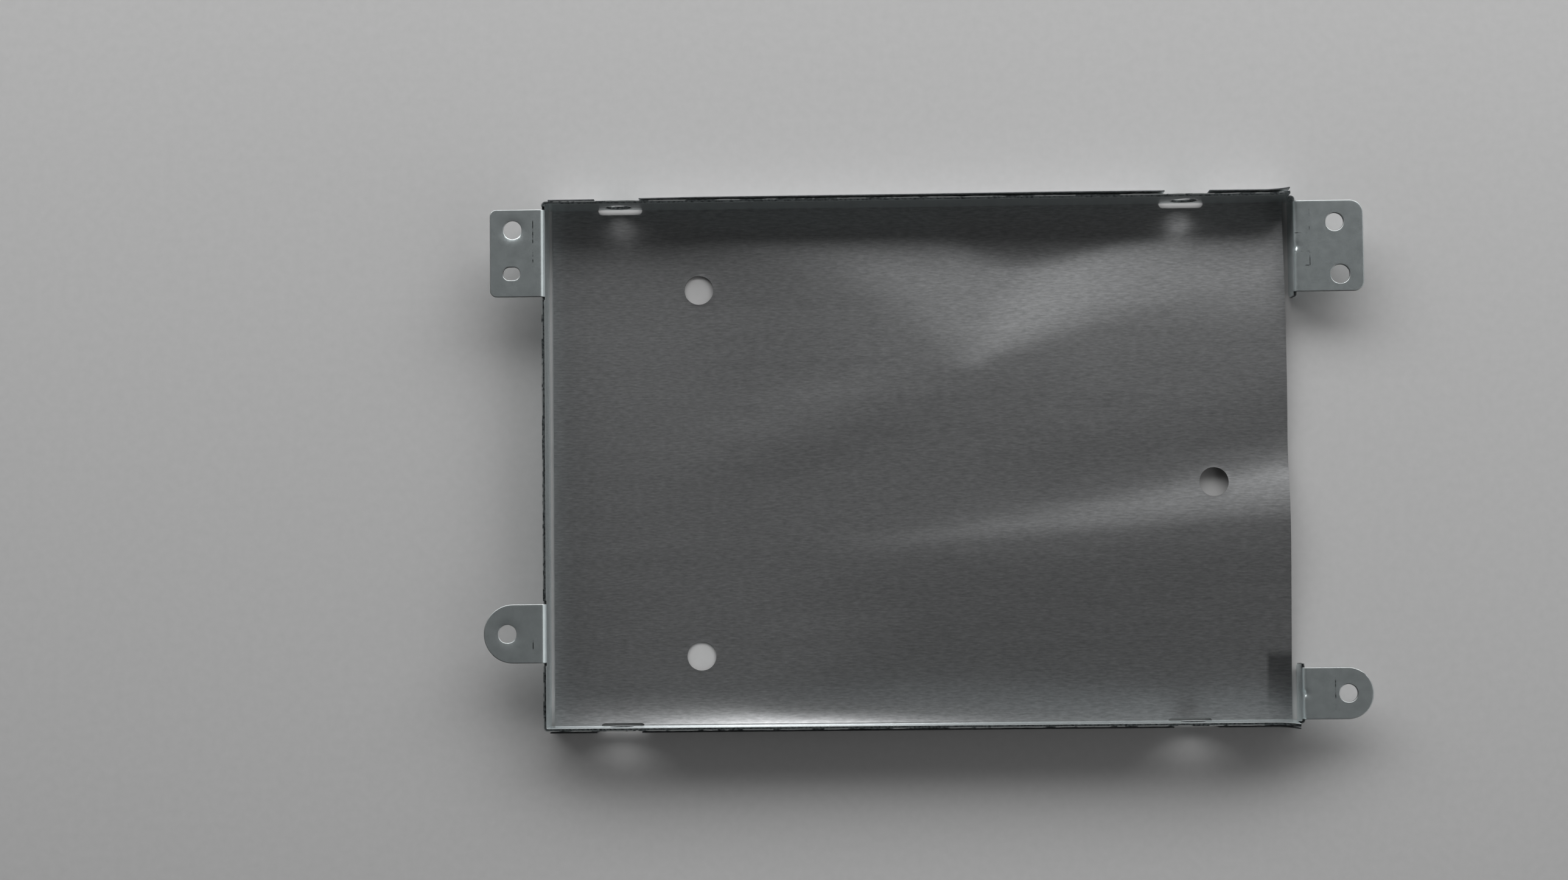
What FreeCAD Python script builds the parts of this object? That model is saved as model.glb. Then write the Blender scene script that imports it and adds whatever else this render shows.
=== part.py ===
"""Laptop hard drive bracket: a bent steel frame around the drive, on a thin folded aluminium shield.

Millimetres, +Z up. The origin is the middle of the drive bay, on the shield's underside.
+X points to the bay's open end, where the drive's connector is. North is +Y and west is -X below.
"""
import FreeCAD
import Part

import math
import os

from FreeCAD import Vector

# Drive bay, between the inner faces of the steel walls
BAY_LENGTH = 100.7
BAY_WIDTH = 70.2

# Steel sheet
STEEL = 0.4
WALL_TOP = 7.0
CORNER_INNER_R = 0.15
TAB_BEND_INNER_R = 0.3
RELIEF_WIDTH = 0.4
RELIEF_DEPTH = 0.3

# Aluminium shield
SHIELD = 0.15
SHIELD_CLEARANCE = 0.1
SHIELD_GAP_WEST = 0.45
SHIELD_GAP_EAST = 0.65
FLANGE_DROP = 0.2

# Screw holes for the drive, as the 2.5-inch drive standard sets them
SCREW_SPACING = 76.6
SCREW_FROM_WEST = 9.7
SCREW_RISE = 3.0
SCREW_HOLE_R = 1.7

# Notches that leave the screw heads free of the shield
NOTCH_WIDTH = 6.0
NOTCH_CORNER_R = 0.6
NOTCH_REACH_NORTH = 0.58
NOTCH_REACH_SOUTH = 0.3

# Round holes in the shield's floor, measured from the bay's ends and from its middle line
FLOOR_HOLE_R = 1.97
PAIR_FROM_WEST = 20.4
PAIR_NORTH_Y = 24.0
PAIR_SOUTH_Y = -25.85
LONE_FROM_EAST = 10.75
LONE_Y = -2.95

# Sprung floor: the thin sheet bows up east of the pair of holes, between flat feet along the long walls
BOW = 1.4
BOW_FROM_WEST = 22.85
BOW_RUN = 33.0
FOOT_MARGIN = 1.1
FOOT_SLOPE_NORTH = 0.1
FOOT_SLOPE_SOUTH = 0.16
FOOT_BLEND = 0.17

# Dent that fans out from one point of the bow to the north wall, between two directions in degrees
DENT_X = 4.7
DENT_Y = 12.0
DENT_FROM = 19.0
DENT_TO = 135.0
DENT_SLOPE = 0.055

# Pleat that widens from one point to the east edge. To its south the floor is higher, up to a crest
PLEAT_X = -16.0
PLEAT_Y = -12.0
PLEAT_TOP_EAST = -0.5
PLEAT_FOOT_EAST = -7.5
PLEAT_SLOPE = 0.08
PLEAT_CREST = 4.5
PLEAT_FALL = 0.09

# Curves across the floor that the bow is lofted through, as shares of its length, and the points on each
# curve, as shares of the way from the middle line to a foot
BOW_SECTIONS = (0, 0.02, 0.05, 0.09, 0.15, 0.23, 0.33, 0.45, 0.6, 0.75, 0.88, 1)
BOW_STATIONS = (-1, -0.93, -0.85, -0.76, -0.66, -0.54, -0.44, -0.35, -0.28, -0.2, -0.12, -0.04,
                0.1, 0.24, 0.38, 0.52, 0.65, 0.76, 0.88, 1)

# Tab tops: the west tabs are level with the walls, the east tabs stand on lower returns
WEST_TAB_TOP = WALL_TOP
EAST_TAB_TOP = 5.0

# North-west tab: edge is its distance from the long wall, reach and out run from the bay's end face,
# and a hole's across runs from the tab's nearer side
NW_EDGE = 0.65
NW_WIDTH = 11.8
NW_REACH = 7.35
NW_TIP_R = 0.9
NW_HOLE_OUT = 4.3
NW_HOLE_ACROSS = 2.75
NW_SLOT_OUT = 4.45
NW_SLOT_ACROSS = 3.15
SLOT_LENGTH = 2.3
SLOT_WIDTH = 1.75

# South-west tongue
SW_EDGE = 8.7
SW_WIDTH = 7.85
SW_REACH = 8.35
SW_HOLE_OUT = 5.2

# North-east tab
NE_EDGE = 0.4
NE_WIDTH = 12.3
NE_REACH = 9.4
NE_TIP_R_NORTH = 1.8
NE_TIP_R_SOUTH = 1.4
NE_HOLE_OUT = 5.55
NE_HOLE_ACROSS = 2.95
NE_FAR_HOLE_OUT = 6.2
NE_FAR_HOLE_ACROSS = 2.3
NE_FAR_HOLE_R = 1.28

# South-east tongue
SE_EDGE = 0.2
SE_WIDTH = 6.9
SE_REACH = 9.45
SE_HOLE_OUT = 6.1

# Holes in the tabs: plain on the east, drawn down into a dish on the west
PLAIN_HOLE_R = 1.2
DISH_HOLE_R = 1.23
DISH_R = 1.95
DISH_DEPTH = 0.26

# East returns: free end past the tab, rounded lower corner, and the dart pressed into each bend
RETURN_OVERHANG = 0.5
RETURN_CORNER_R = 1.0
CORNER_RELIEF = 0.1
DART_R = 0.45
DART_DEPTH = 0.3
DART_WALL = 0.35

# East ends of the long walls, free above the corner and sprung a little outward
FLAP_SHORT = 0.65
FLAP_FLARE = 0.22
FLARE_LENGTH = 3.7
FLARE_HEIGHT = 2.3
FLANGE_SPRING = 0.08

# Worked-out places
HALF_LENGTH = BAY_LENGTH / 2
HALF_WIDTH = BAY_WIDTH / 2
STEEL_BOTTOM = SHIELD
TAB_BEND_OUTER_R = TAB_BEND_INNER_R + STEEL
CORNER_TOP = EAST_TAB_TOP - TAB_BEND_OUTER_R - CORNER_RELIEF
FLAP_END = HALF_LENGTH - FLAP_SHORT
FLARE_START = FLAP_END - FLARE_LENGTH
FLARE_BOTTOM = WALL_TOP - FLARE_HEIGHT
SCREW_X = [-HALF_LENGTH + SCREW_FROM_WEST, -HALF_LENGTH + SCREW_FROM_WEST + SCREW_SPACING]
SCREW_Z = SHIELD + SCREW_RISE
FLANGE_INNER = HALF_WIDTH + STEEL + SHIELD_CLEARANCE
FLANGE_OUTER = FLANGE_INNER + SHIELD
FLANGE_TOP = WALL_TOP - FLANGE_DROP
SHIELD_WEST = -HALF_LENGTH + SHIELD_GAP_WEST
SHIELD_EAST = HALF_LENGTH - SHIELD_GAP_EAST
BOW_WEST = -HALF_LENGTH + BOW_FROM_WEST
FOOT_Y = HALF_WIDTH - FOOT_MARGIN
FOLD_INNER_R = SHIELD_CLEARANCE
PAST = 2.0  # how far a cutter runs past what it cuts


def box(low, high):
    """A box between two opposite corners."""
    size = [top - bottom for bottom, top in zip(low, high)]
    return Part.makeBox(*size, Vector(*low))


def arc(start, through, end):
    """A circular edge through three points."""
    return Part.Arc(Vector(*start), Vector(*through), Vector(*end)).toShape()


def prism(edges, along):
    """The solid swept by a closed flat outline."""
    return Part.Face(Part.Wire(Part.__sortEdges__(edges))).extrude(Vector(*along))


def chain(points):
    """Straight edges through the points, in order."""
    return [Part.makeLine(Vector(*a), Vector(*b)) for a, b in zip(points, points[1:])]


def corner_arc(corner, toward_a, toward_b, radius):
    """The quarter arc that rounds a square corner, with its two ends on the corner's sides."""
    corner = Vector(*corner)
    a = Vector(*toward_a)
    b = Vector(*toward_b)
    middle = corner + (a + b) * radius * (1 - math.sqrt(0.5))
    start = corner + a * radius
    end = corner + b * radius
    return arc(start, middle, end), start, end


def rounded_block(half_x, half_y, radius, bottom, top):
    """An upright block with its four vertical edges rounded."""
    block = box((-half_x, -half_y, bottom), (half_x, half_y, top))
    uprights = [edge for edge in block.Edges if abs(edge.tangentAt(edge.FirstParameter).z) > 0.9]
    return block.makeFillet(radius, uprights)


def flared_end(inner, thickness, end, bottom, top, flare):
    """The north wall's free end: straight along its lower line, its top edge curving outward to the end."""
    run = end - FLARE_START
    radius = (run * run + flare * flare) / (2 * flare)
    half_turn = math.asin(run / radius) / 2
    middle_x = FLARE_START + radius * math.sin(half_turn)
    middle_out = radius * (1 - math.cos(half_turn))
    outer = inner + thickness
    low = chain([(FLARE_START, inner, bottom), (end, inner, bottom), (end, outer, bottom),
                 (FLARE_START, outer, bottom), (FLARE_START, inner, bottom)])
    high = [
        arc((FLARE_START, inner, top), (middle_x, inner + middle_out, top), (end, inner + flare, top)),
        Part.makeLine(Vector(end, inner + flare, top), Vector(end, outer + flare, top)),
        arc((end, outer + flare, top), (middle_x, outer + middle_out, top), (FLARE_START, outer, top)),
        Part.makeLine(Vector(FLARE_START, outer, top), Vector(FLARE_START, inner, top)),
    ]
    return Part.makeLoft([Part.Wire(low), Part.Wire(high)], True, True)


def spring_ends(body, inner, thickness, end, bottom, top, flare):
    """Both long walls of a body, with their plain east ends exchanged for flared ones."""
    room = box((FLARE_START, inner - thickness / 2, bottom),
               (end + PAST, inner + thickness + flare, top + PAST))
    flap = flared_end(inner, thickness, end, bottom, top, flare)
    across = Vector(0, 1, 0)
    rooms = room.fuse(room.mirror(Vector(), across))
    return body.cut(rooms).multiFuse([flap, flap.mirror(Vector(), across)])


def tab_profile(side, foot, top, reach, south, north):
    """A tab bent outward from an end wall: upright leg, round bend, then level to its tip.

    side is -1 on the west wall and +1 on the east returns.
    """
    def at(out, z):
        return (side * (HALF_LENGTH + out), south, z)

    bend_z = top - TAB_BEND_OUTER_R
    slant = math.sqrt(0.5)
    inner_slant = TAB_BEND_INNER_R * slant
    outer_slant = TAB_BEND_OUTER_R * slant
    edges = chain([at(reach, top - STEEL), at(reach, top), at(TAB_BEND_OUTER_R, top)])
    edges.append(arc(at(TAB_BEND_OUTER_R, top),
                     at(TAB_BEND_OUTER_R - outer_slant, bend_z + outer_slant),
                     at(0, bend_z)))
    edges += chain([at(0, bend_z), at(0, foot), at(STEEL, foot), at(STEEL, bend_z)])
    edges.append(arc(at(STEEL, bend_z),
                     at(TAB_BEND_OUTER_R - inner_slant, bend_z + inner_slant),
                     at(TAB_BEND_OUTER_R, top - STEEL)))
    edges += chain([at(TAB_BEND_OUTER_R, top - STEEL), at(reach, top - STEEL)])
    return prism(edges, (0, north - south, 0))


def square_outline(side, reach, south, north, r_south, r_north):
    """The plan of a square-ended tab with its two tip corners rounded, as a tall prism."""
    tip = side * (HALF_LENGTH + reach)
    root = side * (HALF_LENGTH - PAST)
    inward = (-side, 0, 0)
    low_arc, low_start, low_end = corner_arc((tip, south, 0), inward, (0, 1, 0), r_south)
    high_arc, high_start, high_end = corner_arc((tip, north, 0), (0, -1, 0), inward, r_north)
    edges = [low_arc, high_arc]
    edges += chain([(root, north, 0), (root, south, 0), low_start])
    edges += chain([low_end, high_start])
    edges += chain([high_end, (root, north, 0)])
    return prism(edges, (0, 0, WALL_TOP + PAST))


def tongue_outline(side, reach, south, north):
    """The plan of a tongue with a full round end, as a tall prism."""
    radius = (north - south) / 2
    middle = (north + south) / 2
    centre = side * (HALF_LENGTH + reach - radius)
    root = side * (HALF_LENGTH - PAST)
    edges = chain([(centre, north, 0), (root, north, 0), (root, south, 0), (centre, south, 0)])
    edges.append(arc((centre, south, 0), (centre + side * radius, middle, 0), (centre, north, 0)))
    return prism(edges, (0, 0, WALL_TOP + PAST))


def round_hole(x, y, radius):
    """A tall cutter for an upright round hole."""
    return Part.makeCylinder(radius, WALL_TOP + 2 * PAST, Vector(x, y, -PAST))


def slot_hole(x, y):
    """A tall cutter for an oblong hole that is longer along X."""
    straight = (SLOT_LENGTH - SLOT_WIDTH) / 2
    radius = SLOT_WIDTH / 2
    edges = [
        Part.makeLine(Vector(x - straight, y - radius, 0), Vector(x + straight, y - radius, 0)),
        arc((x + straight, y - radius, 0), (x + straight + radius, y, 0), (x + straight, y + radius, 0)),
        Part.makeLine(Vector(x + straight, y + radius, 0), Vector(x - straight, y + radius, 0)),
        arc((x - straight, y + radius, 0), (x - straight - radius, y, 0), (x - straight, y - radius, 0)),
    ]
    return prism(edges, (0, 0, WALL_TOP + PAST))


def dish_ring(x, y, top):
    """The sheet drawn down around a hole: a turned ring whose top curves from level to the hole's rim."""
    run = DISH_R - DISH_HOLE_R
    radius = (run * run + DISH_DEPTH * DISH_DEPTH) / (2 * DISH_DEPTH)
    half_turn = math.asin(run / radius) / 2
    middle_r = DISH_R - radius * math.sin(half_turn)
    middle_drop = radius * (1 - math.cos(half_turn))

    def at(r, drop):
        return (x + r, y, top - drop)

    rim_top = at(DISH_HOLE_R, DISH_DEPTH)
    rim_bottom = at(DISH_HOLE_R, DISH_DEPTH + STEEL)
    edges = [
        arc(at(DISH_R, 0), at(middle_r, middle_drop), rim_top),
        Part.makeLine(Vector(*rim_top), Vector(*rim_bottom)),
        arc(rim_bottom, at(middle_r, middle_drop + STEEL), at(DISH_R, STEEL)),
        Part.makeLine(Vector(*at(DISH_R, STEEL)), Vector(*at(DISH_R, 0))),
    ]
    section = Part.Face(Part.Wire(edges))
    return section.revolve(Vector(x, y, 0), Vector(0, 0, 1), 360)


def add_dished_hole(sheet, x, y, top):
    """A tab with one hole that is drawn down into a dish."""
    return sheet.cut(round_hole(x, y, DISH_R)).fuse(dish_ring(x, y, top))


def add_dart(body, y, top):
    """A stiffening dart pressed through an east bend: a groove on its outside and a rib in its hollow."""
    slant = math.sqrt(0.5)
    bend_x = HALF_LENGTH + TAB_BEND_OUTER_R
    bend_z = top - TAB_BEND_OUTER_R
    axis_r = TAB_BEND_OUTER_R + DART_R - DART_DEPTH
    over_bend = Vector(bend_x - axis_r * slant, y, bend_z + axis_r * slant)
    along = Vector(slant, 0, slant)
    half = TAB_BEND_OUTER_R + DART_R + DART_WALL
    start = over_bend - along * half
    groove = Part.makeCylinder(DART_R, 2 * half, start, along)
    rib = Part.makeCylinder(DART_R + DART_WALL, 2 * half, start, along)
    hollow = box((HALF_LENGTH + STEEL, y - half, bend_z - half), (bend_x + half, y + half, top - STEEL))
    return body.fuse(rib.common(hollow)).cut(groove)


def make_frame():
    """The steel frame: long walls, end wall and two returns from one bent band, and its four tabs."""
    outer = rounded_block(HALF_LENGTH + STEEL, HALF_WIDTH + STEEL, CORNER_INNER_R + STEEL,
                          STEEL_BOTTOM, WALL_TOP)
    inner = rounded_block(HALF_LENGTH, HALF_WIDTH, CORNER_INNER_R, STEEL_BOTTOM - PAST, WALL_TOP + PAST)
    band = outer.cut(inner)

    # The open end between the returns, and the notch that frees the long walls above the corners
    nw_north = HALF_WIDTH - NW_EDGE
    sw_south = -HALF_WIDTH + SW_EDGE
    ne_north = HALF_WIDTH - NE_EDGE
    se_south = -HALF_WIDTH + SE_EDGE
    ne_south = ne_north - NE_WIDTH
    se_north = se_south + SE_WIDTH
    gap_north = ne_south - RETURN_OVERHANG
    gap_south = se_north + RETURN_OVERHANG
    wall_x = HALF_LENGTH - STEEL
    foot_south, side_south, under_south = corner_arc(
        (wall_x, gap_south, STEEL_BOTTOM), (0, 0, 1), (0, -1, 0), RETURN_CORNER_R)
    foot_north, side_north, under_north = corner_arc(
        (wall_x, gap_north, STEEL_BOTTOM), (0, 0, 1), (0, 1, 0), RETURN_CORNER_R)
    below = Vector(0, 0, -PAST)
    gap_edges = [foot_south, foot_north]
    gap_edges += chain([side_south, (wall_x, gap_south, WALL_TOP), (wall_x, gap_north, WALL_TOP), side_north])
    gap_edges += chain([under_south, under_south + below, under_north + below, under_north])
    band = band.cut(prism(gap_edges, (PAST, 0, 0)))
    across = HALF_WIDTH + PAST
    band = band.cut(box((FLAP_END, -across, CORNER_TOP), (HALF_LENGTH + PAST, across, WALL_TOP + PAST)))
    band = spring_ends(band, HALF_WIDTH, STEEL, FLAP_END, FLARE_BOTTOM, WALL_TOP, FLAP_FLARE)

    # Bend reliefs beside the west tabs
    relief_z = WEST_TAB_TOP - TAB_BEND_OUTER_R - RELIEF_DEPTH
    for south, north in ((nw_north - NW_WIDTH, nw_north), (sw_south, sw_south + SW_WIDTH)):
        band = band.cut(box((-HALF_LENGTH - PAST, south - RELIEF_WIDTH, relief_z),
                            (-HALF_LENGTH + STEEL, north + RELIEF_WIDTH, WALL_TOP + PAST)))

    # Tabs, each cut to its plan
    west_foot = relief_z - STEEL
    east_foot = CORNER_TOP - STEEL
    nw = tab_profile(-1, west_foot, WEST_TAB_TOP, NW_REACH, nw_north - NW_WIDTH, nw_north)
    nw = nw.common(square_outline(-1, NW_REACH, nw_north - NW_WIDTH, nw_north, NW_TIP_R, NW_TIP_R))
    nw = add_dished_hole(nw, -HALF_LENGTH - NW_HOLE_OUT, nw_north - NW_HOLE_ACROSS, WEST_TAB_TOP)
    nw = nw.cut(slot_hole(-HALF_LENGTH - NW_SLOT_OUT, nw_north - NW_WIDTH + NW_SLOT_ACROSS))

    sw = tab_profile(-1, west_foot, WEST_TAB_TOP, SW_REACH, sw_south, sw_south + SW_WIDTH)
    sw = sw.common(tongue_outline(-1, SW_REACH, sw_south, sw_south + SW_WIDTH))
    sw = add_dished_hole(sw, -HALF_LENGTH - SW_HOLE_OUT, sw_south + SW_WIDTH / 2, WEST_TAB_TOP)

    ne = tab_profile(1, east_foot, EAST_TAB_TOP, NE_REACH, ne_south, ne_north)
    ne = ne.common(square_outline(1, NE_REACH, ne_south, ne_north, NE_TIP_R_SOUTH, NE_TIP_R_NORTH))
    ne = add_dart(ne, (ne_south + ne_north) / 2, EAST_TAB_TOP)
    ne = ne.cut(round_hole(HALF_LENGTH + NE_HOLE_OUT, ne_north - NE_HOLE_ACROSS, PLAIN_HOLE_R))
    ne = ne.cut(round_hole(HALF_LENGTH + NE_FAR_HOLE_OUT, ne_south + NE_FAR_HOLE_ACROSS, NE_FAR_HOLE_R))

    se = tab_profile(1, east_foot, EAST_TAB_TOP, SE_REACH, se_south, se_north)
    se = se.common(tongue_outline(1, SE_REACH, se_south, se_north))
    se = add_dart(se, (se_south + se_north) / 2, EAST_TAB_TOP)
    se = se.cut(round_hole(HALF_LENGTH + SE_HOLE_OUT, (se_south + se_north) / 2, PLAIN_HOLE_R))
    frame = band.multiFuse([nw, sw, ne, se])

    # Screw holes for the drive, straight through both long walls
    for x in SCREW_X:
        frame = frame.cut(Part.makeCylinder(SCREW_HOLE_R, 2 * across, Vector(x, -across, SCREW_Z),
                                            Vector(0, 1, 0)))
    return frame.removeSplitter()


def notch(x, reach):
    """A tall cutter for one notch in the north flange, rounded where it ends in the floor."""
    inner = HALF_WIDTH - reach
    past = FLANGE_OUTER + PAST
    west = x - NOTCH_WIDTH / 2
    east = x + NOTCH_WIDTH / 2
    west_arc, west_start, west_end = corner_arc((west, inner, -PAST), (0, 1, 0), (1, 0, 0), NOTCH_CORNER_R)
    east_arc, east_start, east_end = corner_arc((east, inner, -PAST), (-1, 0, 0), (0, 1, 0), NOTCH_CORNER_R)
    edges = [west_arc, east_arc]
    edges += chain([west_end, east_start])
    edges += chain([east_end, (east, past, -PAST), (west, past, -PAST), west_start])
    return prism(edges, (0, 0, WALL_TOP + 2 * PAST))


def floor_lift(x, y):
    """How far the sprung floor stands above its flat feet."""
    def share(value, start, end):
        return min(max((value - start) / (end - start), 0), 1)

    rise = share(x, BOW_WEST, BOW_WEST + BOW_RUN)
    bow = BOW * rise * rise * (3 - 2 * rise)
    from_x = x - DENT_X
    from_y = y - DENT_Y
    turn = share(math.degrees(math.atan2(from_y, from_x)), DENT_FROM, DENT_TO)
    dent = DENT_SLOPE * math.hypot(from_x, from_y) * math.sin(math.pi * turn) ** 2
    east = share(x, PLEAT_X, SHIELD_EAST)
    top = PLEAT_Y + (PLEAT_TOP_EAST - PLEAT_Y) * east
    foot = PLEAT_Y + (PLEAT_FOOT_EAST - PLEAT_Y) * east
    crest = PLEAT_SLOPE * (top - foot)
    pleat = max(min(PLEAT_SLOPE * (top - y), crest, crest - PLEAT_FALL * (foot - PLEAT_CREST - y)), 0)
    levels = (bow - dent + pleat, FOOT_SLOPE_NORTH * (FOOT_Y - y), FOOT_SLOPE_SOUTH * (FOOT_Y + y))
    blended = -FOOT_BLEND * math.log(sum(math.exp(-level / FOOT_BLEND) for level in levels))
    return max(blended, 0)


def bow_skin(bottom):
    """One face of the sprung floor, lofted through curves that run across the bay."""
    curves = []
    for share in BOW_SECTIONS:
        x = BOW_WEST + share * (SHIELD_EAST - BOW_WEST)
        curve = Part.BSplineCurve()
        across = [station * FOOT_Y for station in BOW_STATIONS]
        curve.interpolate([Vector(x, y, bottom + floor_lift(x, y)) for y in across])
        curves.append(Part.Wire(curve.toShape()))
    return Part.makeLoft(curves, False, False).Faces[0]


def sprung_floor():
    """The bowed part of the floor: two lofted faces one sheet apart, closed by upright sides."""
    lower = bow_skin(0)
    upper = bow_skin(SHIELD)
    uprights = {}
    for vertex in lower.Vertexes:
        corner = vertex.Point
        raised = Vector(corner.x, corner.y, corner.z + SHIELD)
        uprights[round(corner.x), round(corner.y)] = Part.makeLine(corner, raised)
    sides = []
    for edge in lower.Edges:
        middle = edge.CenterOfMass
        above = min(upper.Edges, key=lambda other: other.CenterOfMass.distanceToPoint(middle))
        ends = [uprights[round(v.Point.x), round(v.Point.y)] for v in edge.Vertexes]
        sides.append(Part.Face(Part.Wire(Part.__sortEdges__([edge, above] + ends))))
    solid = Part.makeSolid(Part.makeShell([lower, upper] + sides))
    return solid if solid.Volume > 0 else solid.reversed()


def make_shield():
    """The aluminium shield: a floor under the drive and a flange folded up outside each long wall."""
    def channel(half, bottom, radius, top):
        """The outline of one side of the folded section, at the shield's west end."""
        low = (SHIELD_WEST, -half, bottom)
        high = (SHIELD_WEST, half, bottom)
        low_arc, low_start, low_end = corner_arc(low, (0, 0, 1), (0, 1, 0), radius)
        high_arc, high_start, high_end = corner_arc(high, (0, -1, 0), (0, 0, 1), radius)
        edges = [low_arc, high_arc]
        edges += chain([low_end, high_start])
        edges += chain([high_end, (SHIELD_WEST, half, top), (SHIELD_WEST, -half, top), low_start])
        return edges

    length = (SHIELD_EAST - SHIELD_WEST, 0, 0)
    outer = prism(channel(FLANGE_OUTER, 0, FOLD_INNER_R + SHIELD, FLANGE_TOP), length)
    inner = prism(channel(FLANGE_INNER, SHIELD, FOLD_INNER_R, FLANGE_TOP + PAST), length)
    shield = outer.cut(inner)
    fold_top = SHIELD + FOLD_INNER_R
    shield = spring_ends(shield, FLANGE_INNER, SHIELD, SHIELD_EAST, fold_top, FLANGE_TOP,
                         FLAP_FLARE + FLANGE_SPRING)
    across = Vector(0, 1, 0)
    for x in SCREW_X:
        shield = shield.cut(notch(x, NOTCH_REACH_NORTH))
        shield = shield.cut(notch(x, NOTCH_REACH_SOUTH).mirror(Vector(), across))
    flat_middle = box((BOW_WEST, -FOOT_Y, -PAST), (SHIELD_EAST + PAST, FOOT_Y, PAST))
    shield = shield.cut(flat_middle).fuse(sprung_floor())
    pair_x = -HALF_LENGTH + PAIR_FROM_WEST
    lone_x = HALF_LENGTH - LONE_FROM_EAST
    for x, y in ((pair_x, PAIR_NORTH_Y), (pair_x, PAIR_SOUTH_Y), (lone_x, LONE_Y)):
        shield = shield.cut(round_hole(x, y, FLOOR_HOLE_R))
    return shield.removeSplitter()


def main():
    os.makedirs("parts", exist_ok=True)
    pieces = {"steel_frame": make_frame(), "bottom_shield": make_shield()}
    for name, shape in pieces.items():
        if not shape.isValid() or len(shape.Solids) != 1:
            raise ValueError(name + " is not one valid solid")
        shape.Solids[0].exportStep("parts/" + name + ".step")


main()
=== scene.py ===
"""Laptop hard drive bracket: the steel frame and the aluminium shield as thin folded sheets.

Each piece is a flat blank, worked out as a grid in millimetres and folded by formula, with the waves,
dishes, sprung ends and sheared rims that plain solids leave out. North is +Y, west is -X and the bay
opens to the east.
"""

import math
from typing import NamedTuple

import bpy
import numpy as np
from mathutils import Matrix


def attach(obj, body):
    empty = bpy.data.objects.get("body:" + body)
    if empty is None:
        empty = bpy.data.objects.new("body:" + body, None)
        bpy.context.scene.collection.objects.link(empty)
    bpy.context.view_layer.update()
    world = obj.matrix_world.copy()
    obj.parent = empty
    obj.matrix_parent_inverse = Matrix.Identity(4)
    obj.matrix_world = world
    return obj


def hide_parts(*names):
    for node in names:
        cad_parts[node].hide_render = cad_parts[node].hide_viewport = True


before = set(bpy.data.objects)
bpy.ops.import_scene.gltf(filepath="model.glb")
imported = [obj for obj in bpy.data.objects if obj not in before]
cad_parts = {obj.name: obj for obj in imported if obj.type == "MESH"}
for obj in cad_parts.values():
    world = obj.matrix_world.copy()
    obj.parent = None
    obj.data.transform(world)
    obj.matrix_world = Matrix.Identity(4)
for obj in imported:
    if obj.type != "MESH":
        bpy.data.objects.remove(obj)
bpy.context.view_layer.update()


class Hole(NamedTuple):
    """A round or oblong hole in a blank, and the two squares of the grid that it uses.

    It has its middle, half of the straight stretch that lengthens it along v, and its radius. The cells
    within the block are left out, and the points from there to the reach are eased around the hole. Both are
    half the side of a square.
    """
    u: float
    v: float
    straight: float
    radius: float
    block: float
    reach: float


class Corner(NamedTuple):
    """A rounded corner in a blank: a point, the way it faces in u and in v (1 or -1), and its radius.

    The core is the share of the corner's square that stays as it is.
    """
    u: float
    v: float
    side_u: int
    side_v: int
    radius: float
    core: float = 0


class Tab(NamedTuple):
    """A tab: its two ends in Y, its reach, the radii of its tip's corners with their core, and its holes.

    The reach and each hole's v are distances out from the inner face of the wall, and a hole's u is its Y.
    The corners are in the order in which the band passes them.
    """
    ends: tuple
    reach: float
    tip_radii: tuple
    core: float
    holes: tuple


# The drive bay, and the thickness of the two sheets, in millimetres
HALF_LENGTH = 100.7 / 2
HALF_WIDTH = 70.2 / 2
STEEL = 0.4
SHIELD = 0.15

# Steel frame: it stands on the shield, and each tab bends outward at the top of its wall
STEEL_BOTTOM = SHIELD
STEEL_MID = STEEL / 2
WALL_TOP = 7.0
WALL_CORNER_R = 0.15
CORNER_POINTS = 7
TAB_BEND_R = 0.3
BEND_MID_R = TAB_BEND_R + STEEL_MID
BEND_OUT = TAB_BEND_R + STEEL
BEND_RUN = BEND_MID_R * math.pi / 2
WEST_TAB_TOP = WALL_TOP
EAST_TAB_TOP = 5.0
RELIEF_WIDTH = 0.4
RELIEF_DEPTH = 0.3
RELIEF_Z = WEST_TAB_TOP - BEND_OUT - RELIEF_DEPTH

# Tabs, each named for the corner of the bay that it is near
NW_TAB = Tab((34.45, 22.65), 7.35, (0.9, 0.9), 0,
             (Hole(31.7, 4.3, 0, 1.23, 0.95, 1.6), Hole(25.8, 4.45, 0.275, 0.875, 0.7, 1.6)))
SW_TAB = Tab((-18.55, -26.4), 8.35, (3.925, 3.925), 0.6, (Hole(-22.475, 5.2, 0, 1.23, 0.95, 1.55),))
NE_TAB = Tab((34.7, 22.4), 9.4, (1.4, 1.8), 0,
             (Hole(31.75, 5.55, 0, 1.2, 0.95, 1.6), Hole(24.7, 6.2, 0, 1.28, 1.0, 1.7)))
SE_TAB = Tab((-28.0, -34.9), 9.45, (3.45, 3.45), 0.6, (Hole(-31.45, 6.1, 0, 1.2, 0.95, 1.6),))

# Short returns at the open end: lower than the walls, and longer than the tabs on them
RETURN_DROP = 0.1
RETURN_TOP = EAST_TAB_TOP - BEND_OUT - RETURN_DROP
RETURN_FOOT_R = 1.0
RETURN_OVERHANG = 0.5
NE_RETURN_END = NE_TAB.ends[1] - RETURN_OVERHANG
SE_RETURN_END = SE_TAB.ends[0] + RETURN_OVERHANG

# Sprung east ends of the long walls
FLAP_SHORT = 0.65
FLARE_LENGTH = 3.7
FLARE_HEIGHT = 2.3
FLAP_FLARE = 0.22
FLAP_END = HALF_LENGTH - FLAP_SHORT
FLARE_START = FLAP_END - FLARE_LENGTH
FLARE_Z = WALL_TOP - FLARE_HEIGHT

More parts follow.
